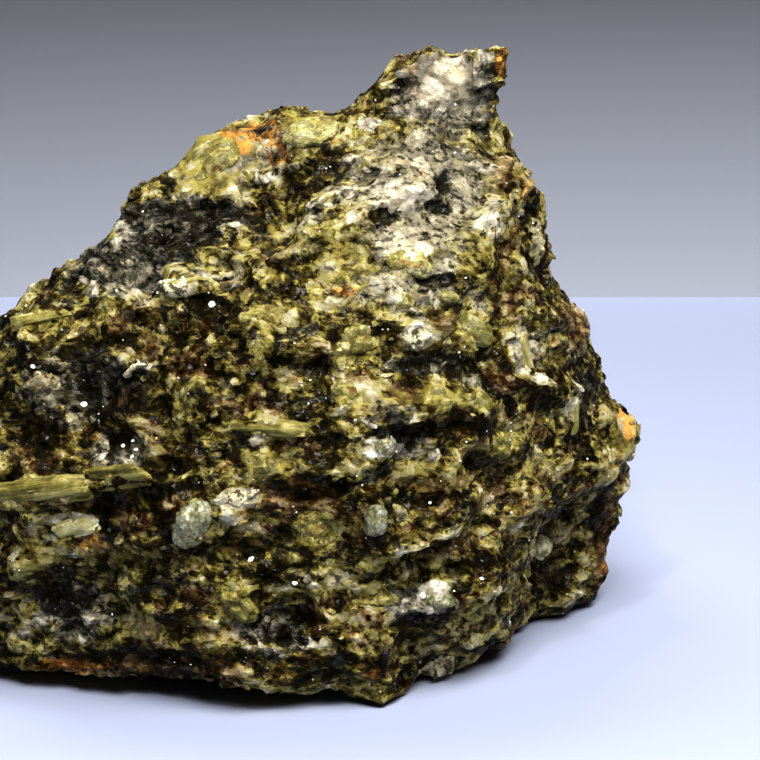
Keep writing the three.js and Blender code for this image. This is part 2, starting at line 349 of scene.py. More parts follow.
def set_attribute(piece, name, value):
    """Gives every point of the piece the same value."""
    layer = piece.data.attributes.new(name, "FLOAT", "POINT")
    layer.data.foreach_set("value", np.full(len(layer.data), value, np.float32))


def finish_piece(piece, material, angle=28):
    pick(piece)
    bpy.ops.object.shade_smooth_by_angle(angle=math.radians(angle))
    piece.data.materials.clear()
    piece.data.materials.append(material)
    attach(piece, "root")


def photo_ray(across, down):
    """The direction in which the photograph's pixel looks."""
    right = VIEW_RIGHT * (across - PIXELS_ACROSS / 2)
    below = VIEW_DOWN * (down - PIXELS_ACROSS / 2)
    return (VIEW_FORWARD * FOCAL_PIXELS + right + below).normalized()


def on_surface(across, down):
    """The rock's surface point that the photograph's pixel shows, or else the nearest to it."""
    rock = bpy.data.objects["rock_surface"]
    ray = photo_ray(across, down)
    hit, point, _, _ = rock.ray_cast(VIEWPOINT, ray)
    if not hit:
        _, point, _, _ = rock.closest_point_on_mesh(VIEWPOINT - ray * VIEWPOINT.dot(ray))
    return point


def seat(across, down, half_width, half_height, turn):
    """Where a crystal lies in the rock: its centre, X along the crystal and Z outwards."""
    centre = on_surface(across, down)
    right = on_surface(across + half_width, down) - on_surface(across - half_width, down)
    up = on_surface(across, down - half_height) - on_surface(across, down + half_height)
    out = right.cross(up).normalized()
    along = Matrix.Rotation(math.radians(turn), 3, out) @ right
    along = (along - out * along.dot(out)).normalized()
    side = out.cross(along)
    return Matrix((along, side, out)).transposed().to_4x4(), centre


# Rock surface

# Places with a colour of their own; the dark kind also holds painted shade. Each: across and down
# in the photograph's pixels, half width, half height and strength.
SPOTS = {
    "bright": {
        "roof": (430, 185, 95, 105, 1.0),
        "roof_left": (310, 225, 80, 40, 0.5),
        "summit": (445, 80, 50, 34, 1.0),
        "below_summit": (455, 106, 50, 24, 1.0),
        "roof_foot": (400, 275, 90, 40, 0.8),
        "crown": (250, 150, 90, 50, 0.6),
        "right_wall": (535, 345, 36, 44, 0.4),
        "left_slope": (120, 250, 90, 50, 0.3),
    },
    "cool": {
        "summit": (440, 85, 66, 44, 1.0),
        "groove": (175, 215, 90, 26, 0.9),
        "left_slope": (130, 262, 80, 44, 0.8),
        "left": (80, 385, 78, 52, 0.8),
        "left_crack": (120, 450, 40, 26, 0.8),
        "low_left": (75, 610, 60, 34, 0.7),
        "low": (270, 640, 60, 30, 0.6),
        "front": (420, 608, 44, 26, 0.8),
        "below_fan": (430, 362, 60, 12, 0.8),
        "middle": (400, 445, 50, 18, 0.7),
    },
    "smooth": {
        "crown": (215, 158, 50, 42, 1.0),
        "crown_right": (308, 126, 34, 30, 1.0),
        "summit": (445, 80, 48, 34, 0.7),
        "tan": (345, 268, 46, 32, 0.4),
        "fan": (440, 340, 60, 20, 0.6),
        "ledge": (430, 402, 90, 22, 0.5),
        "middle": (270, 462, 34, 14, 0.6),
        "right_edge": (626, 436, 18, 34, 0.9),
    },
    "tan": {
        "middle": (345, 268, 46, 32, 0.55),
        "ochre": (264, 316, 34, 14, 0.9),
        "right_edge": (528, 172, 18, 32, 1.0),
        "right_edge_low": (545, 205, 8, 24, 0.9),
        "left_low": (96, 548, 16, 11, 0.9),
        "bottom_left": (140, 622, 22, 22, 0.8),
        "band": (450, 480, 80, 14, 0.8),
        "middle_low": (262, 470, 26, 10, 0.7),
        "right_foot": (515, 610, 20, 12, 0.5),
        "right_end": (608, 470, 14, 40, 0.6),
        "right_wall": (552, 470, 50, 26, 0.55),
        "right_wall_low": (540, 510, 50, 16, 0.6),
    },
    "cream": {
        "crown": (190, 166, 8, 8, 0.5),
        "crown_middle": (262, 150, 14, 10, 0.5),
        "crown_foot": (268, 174, 22, 7, 0.6),
        "groove": (228, 224, 16, 8, 0.8),
        "roof": (396, 195, 36, 18, 0.8),
        "roof_left": (354, 212, 12, 14, 0.7),
        "roof_yellow": (405, 252, 32, 28, 0.9),
        "roof_low": (380, 282, 15, 14, 0.8),
        "roof_foot": (396, 302, 14, 14, 0.7),
        "flank": (496, 226, 26, 14, 0.8),
        "flank_edge": (540, 240, 12, 32, 0.7),
        "beside_fan": (420, 336, 22, 15, 1.0),
        "streak": (522, 352, 15, 28, 1.0),
        "streak_foot": (545, 378, 15, 10, 0.9),
        "streak_low": (575, 408, 11, 20, 0.7),
        "right_high": (572, 346, 22, 8, 0.4),
        "brow": (176, 288, 28, 12, 0.8),
        "pink": (38, 380, 19, 11, 0.5),
        "chip": (144, 362, 11, 5, 0.7),
        "striped": (76, 522, 24, 11, 0.9),
        "beside_glass": (238, 500, 26, 12, 1.0),
        "below_glass": (226, 520, 9, 18, 0.8),
        "high_glass": (380, 447, 18, 14, 0.8),
        "middle": (432, 455, 22, 10, 0.5),
        "front": (436, 592, 20, 14, 0.8),
        "low": (315, 640, 24, 12, 0.5),
        "foot": (436, 670, 18, 14, 0.8),
        "foot_tip": (408, 690, 14, 10, 0.6),
        "left_low": (12, 558, 12, 14, 0.7),
        "right_spot": (626, 424, 13, 20, 1.0),
    },
    "white": {
        "summit": (456, 70, 34, 18, 0.6),
        "summit_low": (432, 90, 34, 14, 0.6),
        "summit_left": (404, 76, 12, 7, 0.5),
        "beak": (487, 52, 12, 12, 0.9),
        "below_summit": (368, 124, 16, 9, 0.8),
        "roof_high": (422, 164, 10, 12, 0.9),
        "roof": (426, 192, 18, 9, 0.8),
        "crown": (268, 176, 24, 7, 0.6),
        "brow": (166, 290, 12, 7, 0.8),
        "chip": (144, 364, 9, 4, 0.8),
        "beside_glass": (250, 494, 10, 6, 0.8),
        "high_glass": (378, 450, 12, 10, 0.5),
        "front": (430, 606, 22, 12, 0.7),
        "right_high": (570, 352, 14, 6, 0.5),
        "right_end": (616, 452, 8, 8, 0.5),
    },
    "olive": {
        "crown": (202, 152, 28, 42, 1.0),
        "crown_low": (194, 188, 24, 12, 0.9),
        "crown_right": (308, 126, 28, 24, 1.0),
        "left_edge": (42, 318, 40, 14, 0.8),
        "left_edge_high": (102, 314, 18, 18, 0.7),
        "brow_left": (136, 272, 24, 20, 0.6),
        "groove_end": (268, 276, 20, 16, 0.8),
        "upright": (264, 345, 11, 28, 0.9),
        "grain_row": (352, 350, 26, 22, 0.9),
        "fan": (478, 333, 28, 18, 1.0),
        "ledge_left": (352, 398, 20, 14, 0.9),
        "ledge": (438, 396, 30, 15, 0.8),
        "ledge_right": (484, 400, 24, 16, 0.9),
        "below_ledge": (505, 442, 22, 13, 0.8),
        "wall": (182, 408, 20, 22, 0.8),
        "long_streak": (255, 425, 48, 8, 0.8),
        "middle": (264, 462, 28, 14, 0.9),
        "left_blade": (60, 484, 70, 12, 0.7),
        "centre": (318, 528, 28, 22, 0.9),
        "front_high": (374, 566, 22, 10, 0.8),
        "front": (374, 597, 34, 15, 1.0),
        "bottom": (234, 604, 26, 28, 0.8),
        "bottom_left": (142, 612, 20, 14, 0.7),
        "left_low": (24, 560, 28, 26, 0.8),
        "front_corner": (474, 614, 20, 24, 0.6),
        "recess_lump": (540, 545, 16, 12, 1.0),
        "band": (440, 470, 56, 10, 0.7),
        "wall_high": (290, 385, 24, 12, 0.6),
    },
    # Dark minerals, and painted shade in the grooves, crevices, pockets, recesses and undercuts.
    "dark": {
        "groove": (190, 208, 54, 12, 0.9),
        "below_groove": (180, 236, 60, 14, 0.8),
        "brow": (214, 312, 36, 22, 0.9),
        "left_high": (66, 345, 54, 14, 1.0),
        "left": (100, 390, 50, 36, 1.0),
        "left_wall": (30, 425, 38, 26, 1.0),
        "left_crack": (116, 442, 18, 30, 0.9),
        "above_blade": (170, 465, 40, 10, 0.8),
        "below_blade": (125, 500, 46, 14, 0.9),
        "pocket": (300, 490, 46, 16, 1.0),
        "pocket_right": (332, 442, 20, 12, 0.9),
        "below_glass": (160, 580, 36, 26, 0.7),
        "low_left": (64, 600, 44, 26, 0.8),
        "low": (254, 548, 20, 14, 0.9),
        "low_middle": (285, 575, 46, 18, 0.7),
        "below_fan": (440, 362, 66, 12, 0.65),
        "above_fan": (415, 316, 22, 6, 0.6),
        "beside_round": (388, 350, 8, 14, 0.7),
        "left_of_round": (334, 338, 7, 18, 0.8),
        "crevice": (322, 380, 14, 34, 0.8),
        "middle": (420, 432, 70, 9, 0.9),
        "recess_left": (510, 552, 12, 18, 1.0),
        "right_wall": (545, 400, 22, 22, 0.8),
        "right_end": (592, 405, 16, 40, 0.9),
        "right_edge_low": (600, 520, 12, 40, 0.7),
        "below_band": (404, 500, 50, 8, 0.8),
        "front_undercut": (428, 625, 42, 14, 1.0),
        "low_undercut": (298, 618, 34, 12, 0.8),
        "recess": (548, 575, 46, 24, 0.75),
        "under_chin": (150, 660, 130, 12, 0.8),
        "chin_right": (330, 672, 40, 16, 0.7),
        "roof_crack": (438, 280, 26, 8, 0.9),
        "roof_spots": (446, 180, 13, 18, 0.8),
        "roof_spot_left": (384, 216, 18, 10, 0.8),
        "roof_spot_right": (440, 207, 20, 8, 0.7),
    },
    "brown": {
        "right_edge": (506, 172, 14, 30, 0.9),
        "right_wall": (574, 325, 22, 34, 0.8),
        "belly": (185, 365, 30, 18, 0.8),
        "below_blade": (132, 520, 30, 18, 0.8),
        "left_low": (96, 545, 24, 14, 0.9),
        "bottom_left": (142, 628, 24, 14, 0.7),
        "band": (430, 480, 60, 12, 0.8),
        "front": (440, 548, 34, 18, 0.6),
        "right_low": (606, 530, 14, 60, 0.8),
        "right": (548, 480, 44, 18, 0.5),
        "foot": (380, 650, 40, 24, 0.35),
        "chin": (150, 668, 150, 14, 0.7),
        "pocket": (300, 500, 50, 20, 0.7),
    },
    "rust": {
        "crown_stain": (262, 128, 26, 14, 1.0),
        "crown_stain_low": (276, 148, 15, 20, 1.1),
        "crown_stain_left": (228, 132, 18, 9, 0.9),
        "crown_stain_middle": (240, 148, 14, 12, 0.9),
        "beak": (505, 58, 9, 20, 1.0),
        "right_edge": (530, 195, 10, 24, 0.5),
        "right_spot": (626, 424, 13, 20, 1.2),
        "left_low": (92, 545, 20, 10, 0.6),
        "foot_stain": (378, 672, 24, 18, 0.5),
        "chin_stain": (70, 668, 60, 10, 0.6),
        "roof_stain": (346, 290, 14, 8, 0.7),
        "right_end": (604, 560, 12, 24, 0.6),
    },
}


# How each kind of place looks: its paleness, how much of the rock's own paleness it covers, its hue
# family and how much of the rock's own hue it covers.
TONES = {
    "bright": (0.64, 0.82, 0.80, 0.70),
    "brown": (0.53, 0.60, 0.27, 0.85),
    "tan": (0.64, 0.80, 0.41, 0.85),
    "olive": (0.62, 0.80, 0.50, 0.85),
    "cream": (0.77, 0.80, 0.68, 0.85),
    "white": (0.76, 0.75, 0.90, 0.90),
    "cool": (0.50, 0.0, 0.85, 0.65),
    # The dark places are partly dark minerals and partly painted shade.
    "dark": (0.36, 0.80, 0.50, 0.0),
}


def grains(graph, space, size):
    """Rounded grains, some high and some low: a point's height from 0 to 1, and chances by grain."""
    ragged = graph.warped(space, 0.5 * size, 0.12 * size)
    cells = graph.voronoi(ragged, size)
    chance = graph.node("ShaderNodeSeparateXYZ", {0: cells.outputs["Color"]}).outputs
    dome = graph.ease(cells.outputs["Distance"], 0.12, 0.68, 1.0, 0.0)
    return graph.math("MULTIPLY", dome, graph.ease(chance[0], 0.25, 0.75)), chance


def striations(graph, space, size):
    """Fine stripes that run another way in each grain."""
    cells = graph.voronoi(graph.warped(space, 0.5 * size, 0.12 * size), size)
    way = graph.vector("SCALE", cells.outputs["Color"], scale=math.pi)
    turned = graph.node("ShaderNodeVectorRotate", {
        "Vector": space, "Rotation": way,
    }, rotation_type="EULER_XYZ").outputs[0]
    return graph.noise(graph.vector("MULTIPLY", turned, (0.16, 1.0, 1.0)), 0.9 * MM, 2.0, 0.5)


def layers(graph, space):
    """The rock's layering, from 0 in the hollows to 1 on the ledges."""
    drawn = graph.vector("MULTIPLY", space, (0.22, 0.4, 1.0))
    return graph.noise(drawn, 5.0 * MM, 3.0, 0.6)


def rock_relief(settings):
    """Lumps, ledges, rounded grains and flat grain faces; the feet stay flat."""

    def relief(graph, position):
        space = grain_space(graph, position)
        coarse, _ = grains(graph, space, settings.coarse_grain)
        fine, _ = grains(graph, space, settings.fine_grain)
        spot = {
            kind: graph.node("GeometryNodeInputNamedAttribute", {"Name": kind}).outputs[0]
            for kind in ("bright", "smooth", "dark", "olive", "cream")
        }
        height = graph.add(
            graph.centred(graph.noise(space, 13 * MM, 3.0, 0.55), settings.lump_height),
            graph.centred(layers(graph, space), 2.4 * MM),
            graph.centred(coarse, 1.1 * MM),
            graph.centred(fine, 0.5 * MM),
            facets(graph, space, 3.0 * MM, 0.40, 0.40 * MM),
        )
        height = graph.math("MULTIPLY", height, graph.ease(spot["bright"], 0.0, 1.0, 1.0, 0.6))
        height = graph.math("MULTIPLY", height, graph.ease(spot["smooth"], 0.0, 1.0, 1.0, 0.3))
        raised = graph.math("MAXIMUM", spot["olive"], spot["cream"])
        height = graph.add(
            height,
            graph.math("MULTIPLY", spot["dark"], -1.2 * MM),
            graph.math("MULTIPLY", raised, 0.4 * MM),
        )
        upward = graph.node("ShaderNodeSeparateXYZ", {0: position}).outputs["Z"]
        return graph.math("MULTIPLY", height, graph.ease(upward, 0.4 * MM, 4 * MM))

    return raised_group("Rock relief", "rest", relief)


def colour_spots(rock):
    """Stores, for each kind of colour spot, how strongly each point of the surface has it."""
    count = len(rock.data.vertices)
    points = np.empty(count * 3)
    rock.data.vertices.foreach_get("co", points)
    points = points.reshape(-1, 3)
    axes = np.array([VIEW_RIGHT, VIEW_DOWN, VIEW_FORWARD])
    for kind, spots in SPOTS.items():
        share = np.zeros(count)
        for across, down, half_width, half_height, strength in spots.values():
            centre = np.array(on_surface(across, down))
            depth = 1.3 * max(half_width, half_height)
            radii = np.array([half_width, half_height, depth]) * PIXEL
            away = (points - centre) @ axes.T / radii
            near = np.clip(1.35 - np.linalg.norm(away, axis=1), 0, 1)
            share = np.maximum(share, strength * near * near * (3 - 2 * near))
        layer = rock.data.attributes.new(kind, "FLOAT", "POINT")
        layer.data.foreach_set("value", share.astype(np.float32))


def mineral_colour(graph, space, settings, kind, family, rusty):
    """The colour for a darkness (0 dark, 1 pale) and a family (0 brown, 0.5 olive, 1 grey)."""
    dark, pale = settings.dark, settings.pale
    brown = graph.ramp(kind, [
        (0.32, dark), (0.42, (0.030, 0.012, 0.003)), (0.51, settings.brown),
        (0.62, (0.25, 0.185, 0.090)), (0.78, (0.46, 0.39, 0.26)), (1.0, (0.76, 0.70, 0.54)),
    ])
    olive = graph.ramp(kind, [
        (0.32, dark), (0.42, (0.024, 0.017, 0.0025)), (0.51, (0.130, 0.104, 0.025)),
        (0.60, settings.olive), (0.76, (0.43, 0.39, 0.24)), (1.0, (0.74, 0.70, 0.56)),
    ])
    grey = graph.ramp(kind, [
        (0.32, dark), (0.42, (0.017, 0.017, 0.014)), (0.51, (0.106, 0.096, 0.072)),
        (0.62, settings.grey), (0.78, pale), (1.0, (0.88, 0.85, 0.78)),
    ])
    mixed = graph.blend(graph.ease(family, 0.34, 0.47), brown, olive)
    mixed = graph.blend(graph.ease(family, 0.50, 0.74), mixed, grey)
    stain = graph.ramp(kind, [
        (0.25, (0.016, 0.008, 0.003)), (0.50, (0.16, 0.072, 0.016)), (0.66, (0.48, 0.26, 0.065)),
        (0.80, (0.74, 0.46, 0.15)), (1.0, (0.86, 0.70, 0.44)),
    ])
    return graph.blend(rusty, mixed, stain)


def grainy_material(name, settings, shift=0.0, hues=0.47, coat=0.5):
    """Interlocking dark, olive, brown and pale grains, each with its own face and gloss."""
    material = bpy.data.materials.new(name)
    material.use_nodes = True
    tree = material.node_tree
    tree.nodes.clear()
    graph = Graph(tree)
    space = grain_space(graph, graph.attribute("rest").outputs["Vector"])
    ragged = graph.warped(space, 1.2 * MM, 0.3 * MM)
    spot = {kind: graph.attribute(kind).outputs["Fac"] for kind in SPOTS}
    tint = graph.attribute("tint").outputs["Fac"]

    coarse, coarse_chance = grains(graph, space, settings.coarse_grain)
    fine, fine_chance = grains(graph, space, settings.fine_grain)
    finest = graph.chances(ragged, 1.1 * MM)
    mottle = graph.noise(space, 3.4 * MM, 5.0, 0.62)
    texture = graph.add(
        graph.math("MULTIPLY_ADD", coarse, 0.18, -0.037),
        graph.math("MULTIPLY_ADD", fine, 0.12, -0.026),
        graph.centred(mottle, 0.8),
        graph.centred(graph.noise(space, 1.1 * MM, 3.0, 0.6), 0.36),
        graph.centred(striations(graph, space, settings.coarse_grain), 0.22),
        graph.centred(finest[0], 0.20),
        graph.math("MULTIPLY", tint, 0.14),
        shift,
    )
    calm = graph.math("MAXIMUM", spot["smooth"], graph.math("MULTIPLY", spot["bright"], 0.55))
    texture = graph.math("MULTIPLY", texture, graph.ease(calm, 0.0, 1.0, 1.0, 0.35))
    kind = graph.add(
        0.505,
        texture,
        graph.centred(graph.noise(space, 11 * MM, 2.0, 0.5), 0.4),
        graph.centred(layers(graph, space), 0.5),
    )
    family = graph.add(
        hues,
        graph.centred(graph.noise(space, 7 * MM, 3.0, 0.6), 0.7),
        graph.centred(graph.noise(space, 2.4 * MM, 2.0, 0.5), 0.5),
        graph.centred(coarse_chance[1], 0.16),
        graph.centred(fine_chance[1], 0.14),
    )
    border = graph.centred(graph.noise(space, 2.6 * MM, 4.0, 0.65), 1.5)
    patch = {name: graph.ease(graph.add(spot[name], border), 0.30, 0.60) for name in spot}
    patch["bright"] = spot["bright"]
    softer = graph.math("MULTIPLY", texture, 0.7)
    for name, (tone, tone_pull, hue, hue_pull) in TONES.items():
        kind = graph.toward(kind, graph.math("ADD", softer, tone), patch[name], tone_pull)
        family = graph.toward(family, hue, patch[name], hue_pull)
    speckled = graph.math("MULTIPLY_ADD", spot["bright"], -0.08, graph.noise(space, 1.3 * MM, 2.0, 0.6))
    clean = graph.ease(spot["smooth"], 0.0, 0.5, 1.0, 0.0)
    kind = graph.math("MULTIPLY_ADD", graph.ease(speckled, 0.27, 0.40, -0.14, 0.0), clean, kind)
    stains = graph.ease(graph.noise(space, 6 * MM, 3.0, 0.6), 0.60, 0.72, 0.0, 0.4)
    rusty = graph.add(stains, patch["rust"])
    rusty = graph.math("MULTIPLY", rusty, graph.ease(mottle, 0.37, 0.51), clamp=True)
    shade = mineral_colour(graph, space, settings, kind, family, rusty)
    shade = graph.darken(shade, graph.ease(finest[1], 0.0, 1.0, 0.85, 1.15))

    small = facets(graph, ragged, 1.3 * MM, 0.6, 0.09 * MM)
    tiny = facets(graph, ragged, 0.6 * MM, 0.45, 0.03 * MM)
    grit = graph.math("MULTIPLY", graph.noise(space, 0.8 * MM, 3.0, 0.6), 0.18 * MM)
    sunk = graph.ease(kind, 0.35, 0.65, 0.0, 0.35 * MM)
    height = graph.add(small, tiny, grit, sunk)
    height = graph.math("MULTIPLY", height, graph.ease(calm, 0.0, 1.0, 1.0, 0.35))
    bump = graph.node("ShaderNodeBump", {"Height": height, "Distance": 1.0})
    shader = graph.node("ShaderNodeBsdfPrincipled", {
        "Base Color": shade,
        "Roughness": graph.ease(fine_chance[2], 0.0, 1.0, 0.35, 0.65),
        "Specular IOR Level": 0.12,
        "Specular Tint": (1.0, 0.80, 0.40, 1),
        "Coat Weight": graph.ease(finest[2], 0.70, 0.78, 0.0, coat),
        "Coat Roughness": 0.1,
        "Normal": bump.outputs[0],
        "Coat Normal": bump.outputs[0],
    })
    output = graph.node("ShaderNodeOutputMaterial")
    graph.set(output.inputs["Surface"], shader.outputs[0])
    return material


class SPECIMEN_OT_rock_surface(bpy.types.Operator):
    """Makes the rock's broken, grainy surface over the frame's solid"""

    bl_idname = "specimen.rock_surface"
    bl_label = "Rock surface"

    def execute(self, context):
        settings = context.scene.specimen_rock
        rock = merged_copy(ROCK_NODE, "rock_surface")
        even_faces(rock, settings.detail)
        soften = rock.modifiers.new("Soften", "SMOOTH")
        soften.factor = 0.5
        soften.iterations = 3
        apply_modifier(rock, soften)
        colour_spots(rock)
        use_group(rock, rock_relief(settings))
        finish_piece(rock, grainy_material("Rock", settings))
        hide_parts(ROCK_NODE)
        return {"FINISHED"}


# Crystals

# Where each crystal lies: across and down in the photograph's pixels, half length and half width in
# pixels, its turn in degrees, how far it stands out in mm, and its tint from 0 (deep) to 1 (pale).
BLADES = {
    "long": (34, 487, 58, 12, 8, 1.4, 0.42),
    "long_end": (112, 474, 40, 8, 8, 2.0, 0.40),
    "striped": (72, 528, 26, 13, 16, 0.8, 1.0),
    "fan": (478, 334, 26, 16, -8, 1.8, 0.62),
    "brow": (190, 282, 30, 7, 18, 0.8, 0.75),
    "right_streak": (528, 358, 34, 10, 118, 0.6, 0.9),
    "right_streak_low": (576, 412, 28, 8, 100, 0.6, 0.70),
    "left_edge": (44, 318, 38, 10, 12, 0.8, 0.6),
    "streak": (258, 428, 46, 8, -2, 0.4, 0.5),
}
KNOBS = {
    "crown": (204, 160, 38, 28, 38, 0.8, 0.66),
    "crown_right": (308, 126, 32, 24, 25, 0.8, 0.84),
    "upright": (256, 350, 20, 10, 75, 0.9, 0.6),
    "ochre": (265, 316, 24, 10, -10, 0.7, 0.5),
    "middle": (257, 466, 19, 12, 5, 1.0, 0.6),
    "middle_right": (290, 455, 16, 10, 20, 0.8, 0.55),
    "round": (360, 341, 18, 16, 0, 1.8, 0.60),
    "ledge_left": (352, 394, 20, 13, -15, 0.9, 0.6),
    "ledge": (440, 402, 20, 15, 10, 0.9, 0.6),
    "ledge_right": (484, 402, 20, 15, 0, 1.0, 0.7),
    "below_ledge": (503, 450, 18, 12, -20, 1.0, 0.5),
    "centre": (322, 532, 21, 15, 0, 1.1, 0.5),
    "front": (378, 600, 26, 9, 3, 1.0, 0.65),
    "front_high": (375, 570, 18, 9, 0, 0.8, 0.6),
    "corner": (472, 620, 16, 12, 55, 1.0, 0.5),
    "recess": (539, 546, 17, 12, 0, 3.2, 1.15),
    "bottom": (238, 612, 22, 14, -45, 0.9, 0.45),
    "bottom_left": (138, 628, 18, 14, 40, 0.9, 0.6),
    "left_low": (10, 568, 16, 13, 20, 0.9, 0.65),
    "left_low_rusty": (96, 548, 14, 9, 20, 0.8, 0.4),
    "left_edge": (100, 320, 18, 9, -60, 0.8, 0.6),
    "wall": (188, 408, 18, 12, 70, 0.8, 0.5),
    "fan_left": (446, 342, 12, 8, 0, 0.8, 0.85),
    "band": (478, 497, 18, 8, 0, 0.7, 0.45),
    "roof": (412, 258, 24, 15, -20, 0.5, 0.8),
    "roof_foot": (460, 300, 22, 8, 0, 0.6, 0.65),
    "roof_foot_left": (400, 303, 14, 11, 0, 0.6, 0.75),
    "beside_glass": (223, 526, 19, 7, 88, 0.9, 0.6),
}
BLOCKS = {
    "summit": (452, 72, 26, 9, 24, 0.2, 0.6),
    "cream": (417, 338, 16, 12, 4, 1.0, 0.85),
    "pink": (38, 382, 17, 10, 12, 0.8, 0.35),
    "chip": (142, 364, 11, 4, 12, 0.9, 0.8),
    "brow": (164, 291, 13, 10, 10, 0.8, 0.8),
    "beside_glass": (238, 497, 22, 9, 12, 0.9, 0.85),
    "foot": (436, 672, 17, 10, 20, 0.8, 0.5),
}
GRAINS = {
    "left": (196, 528, 26, 20, 70, 0.8, 0.56),
    "right": (371, 526, 18, 13, 75, 0.5, 0.62),
    "high": (381, 447, 14, 12, 60, 0.6, 0.60),
    "low": (440, 604, 20, 12, -10, 0.5, 0.45),
}


def fibre_relief(graph, position):
    """Ridges and grooves that run along the crystal."""
    drawn = graph.vector("MULTIPLY", position, (0.07, 1.0, 1.0))
    fine = graph.centred(graph.noise(drawn, 1.2 * MM, 3.0, 0.6), 0.5 * MM)
    broad = graph.centred(graph.noise(position, 4 * MM, 3.0, 0.6), 0.6 * MM)
    return graph.add(fine, broad, facets(graph, drawn, 2.2 * MM, 0.3, 0.2 * MM))


def cleavage_relief(graph, position):
    """Flat steps, as a crystal has that splits along planes."""
    broad = graph.centred(graph.noise(position, 4 * MM, 3.0, 0.6), 1.8 * MM)
    return graph.add(broad, facets(graph, position, 2.6 * MM, 0.35, 0.4 * MM))


def knobbly_relief(graph, position):
    """A grain's uneven, slightly stepped surface."""
    broad = graph.centred(graph.noise(position, 3.5 * MM, 3.0, 0.6), 1.8 * MM)
    return graph.add(broad, facets(graph, position, 2.2 * MM, 0.3, 0.25 * MM))


def glassy_relief(graph, position):
    """Soft dents and shallow curved breaks."""
    broad = graph.centred(graph.noise(position, 3 * MM, 2.0, 0.5), 1.0 * MM)
    return graph.add(broad, facets(graph, position, 2.2 * MM, 0.22, 0.12 * MM))


def crystal_material(
    name, stops, roughness, fibre, dirty, streaky=0.9, transmission=0.0, coat=0.0, grooves=1.0
):
    """A crystal's colour by its tint, streaked along its length and dirty in places; on the quartz
    the near-white top of the ramp turns the highest streaks into painted glints.
    """
    material = bpy.data.materials.new(name)
    material.use_nodes = True
    tree = material.node_tree
    tree.nodes.clear()
    graph = Graph(tree)
    local = graph.attribute("local").outputs["Vector"]
    drawn = graph.vector("MULTIPLY", local, (fibre, 1.0, 1.0))
    tint = graph.attribute("tint").outputs["Fac"]
    streaks = graph.noise(drawn, 0.8 * MM, 4.0, 0.65)
    cloud = graph.noise(local, 3.0 * MM, 4.0, 0.6)
    kind = graph.add(
        graph.math("MULTIPLY_ADD", tint, 0.5, 0.28),
        graph.centred(streaks, streaky),
        graph.centred(cloud, 0.8),
    )
    shade = graph.ramp(kind, stops)
    place = graph.node("ShaderNodeTexCoord").outputs["Object"]
    dirt = graph.ease(graph.noise(place, 2.2 * MM, 5.0, 0.7), 0.50, 0.57, 0.0, dirty)
    shade = graph.blend(dirt, shade, (0.030, 0.023, 0.010, 1))
    rust = graph.ease(graph.noise(place, 5 * MM, 3.0, 0.6), 0.60, 0.72, 0.0, 0.5)
    shade = graph.blend(rust, shade, (0.26, 0.12, 0.035, 1))
    steps = facets(graph, drawn, 0.8 * MM, 0.8 * grooves, 0.12 * grooves * MM)
    ridges = graph.math("MULTIPLY", streaks, 0.35 * grooves * MM)
    hollow = graph.math("MULTIPLY", dirt, -0.4 * grooves * MM)
    bump = graph.node("ShaderNodeBump", {"Height": graph.add(steps, ridges, hollow), "Distance": 1.0})
    shader = graph.node("ShaderNodeBsdfPrincipled", {
        "Base Color": shade,
        "Roughness": roughness,
        "Specular IOR Level": 0.25,
        "IOR": 1.55,
        "Transmission Weight": transmission,
        "Coat Weight": coat,
        "Coat Roughness": 0.08,
        "Normal": bump.outputs[0],
        "Coat Normal": bump.outputs[0],
    })
    output = graph.node("ShaderNodeOutputMaterial")
    graph.set(output.inputs["Surface"], shader.outputs[0])
    return material


def lay_crystals(name, blank, table, group, settings):
    """Copies the blank to each place of the table, roughens it, and joins all as one piece."""
    copies = []
    for index, (across, down, length_px, width_px, turn, proud, tint) in enumerate(table.values()):
        reach = 0.6 * min(length_px, width_px)
        turned, centre = seat(across, down, reach, reach, turn)
        piece = own_copy(blank, name)
        half = settings.thickness / 2
        piece.scale = (length_px * PIXEL, width_px * PIXEL, half)
        bpy.ops.object.transform_apply(location=False, rotation=False, scale=True)
        even_faces(piece, settings.detail)
        use_group(piece, group)
        set_attribute(piece, "tint", tint)
        spin = Matrix.Rotation(math.pi * (index % 2), 4, "Z")
        out = turned.col[2].xyz
        piece.matrix_world = Matrix.Translation(centre + out * (proud * MM - half)) @ turned @ spin
        pick(piece)
        bpy.ops.object.transform_apply(location=True, rotation=True, scale=True)
        copies.append(piece)
    pick(*copies)
    bpy.ops.object.join()
    remove(blank)
    copies[0].name = copies[0].data.name = name
    return copies[0]


class SPECIMEN_OT_blades(bpy.types.Operator):
    """Lays the fibrous spodumene blades in the rock"""

    bl_idname = "specimen.blades"
    bl_label = "Spodumene blades"

    def execute(self, context):
        settings = context.scene.specimen_crystals
        blank = broken_shape("spodumene_blades", lambda: bpy.ops.mesh.primitive_cube_add(size=2), [
            ((0.78, 0, 0.5), (1.0, 0.12, 0.6)),
            ((-0.88, 0, 0), (-1.0, -0.20, 0.20)),
            ((0, 0.82, 0.4), (0.05, 0.8, 0.6)),
            ((0, -0.80, 0.5), (-0.04, -0.7, 0.7)),
            ((0.75, 0.75, 0), (0.6, 1.0, 0.1)),
            ((-0.78, -0.75, 0), (-0.5, -1.0, 0.2)),
        ], 0.08)
        group = raised_group("Fibres", "local", fibre_relief)
        piece = lay_crystals("spodumene_blades", blank, BLADES, group, settings)
        material = crystal_material(
            "Spodumene blades", spodumene_stops(settings), 0.42, 0.08, 0.1, streaky=0.8)
        finish_piece(piece, material)
        return {"FINISHED"}


def spodumene_stops(settings):
    """Spodumene's colours from its dark to its pale places."""
    return [
        (0.15, (0.020, 0.018, 0.006)), (0.38, (0.12, 0.100, 0.024)), (0.55, settings.spodumene),
        (0.75, (0.45, 0.41, 0.19)), (0.95, (0.66, 0.63, 0.43)),
    ]


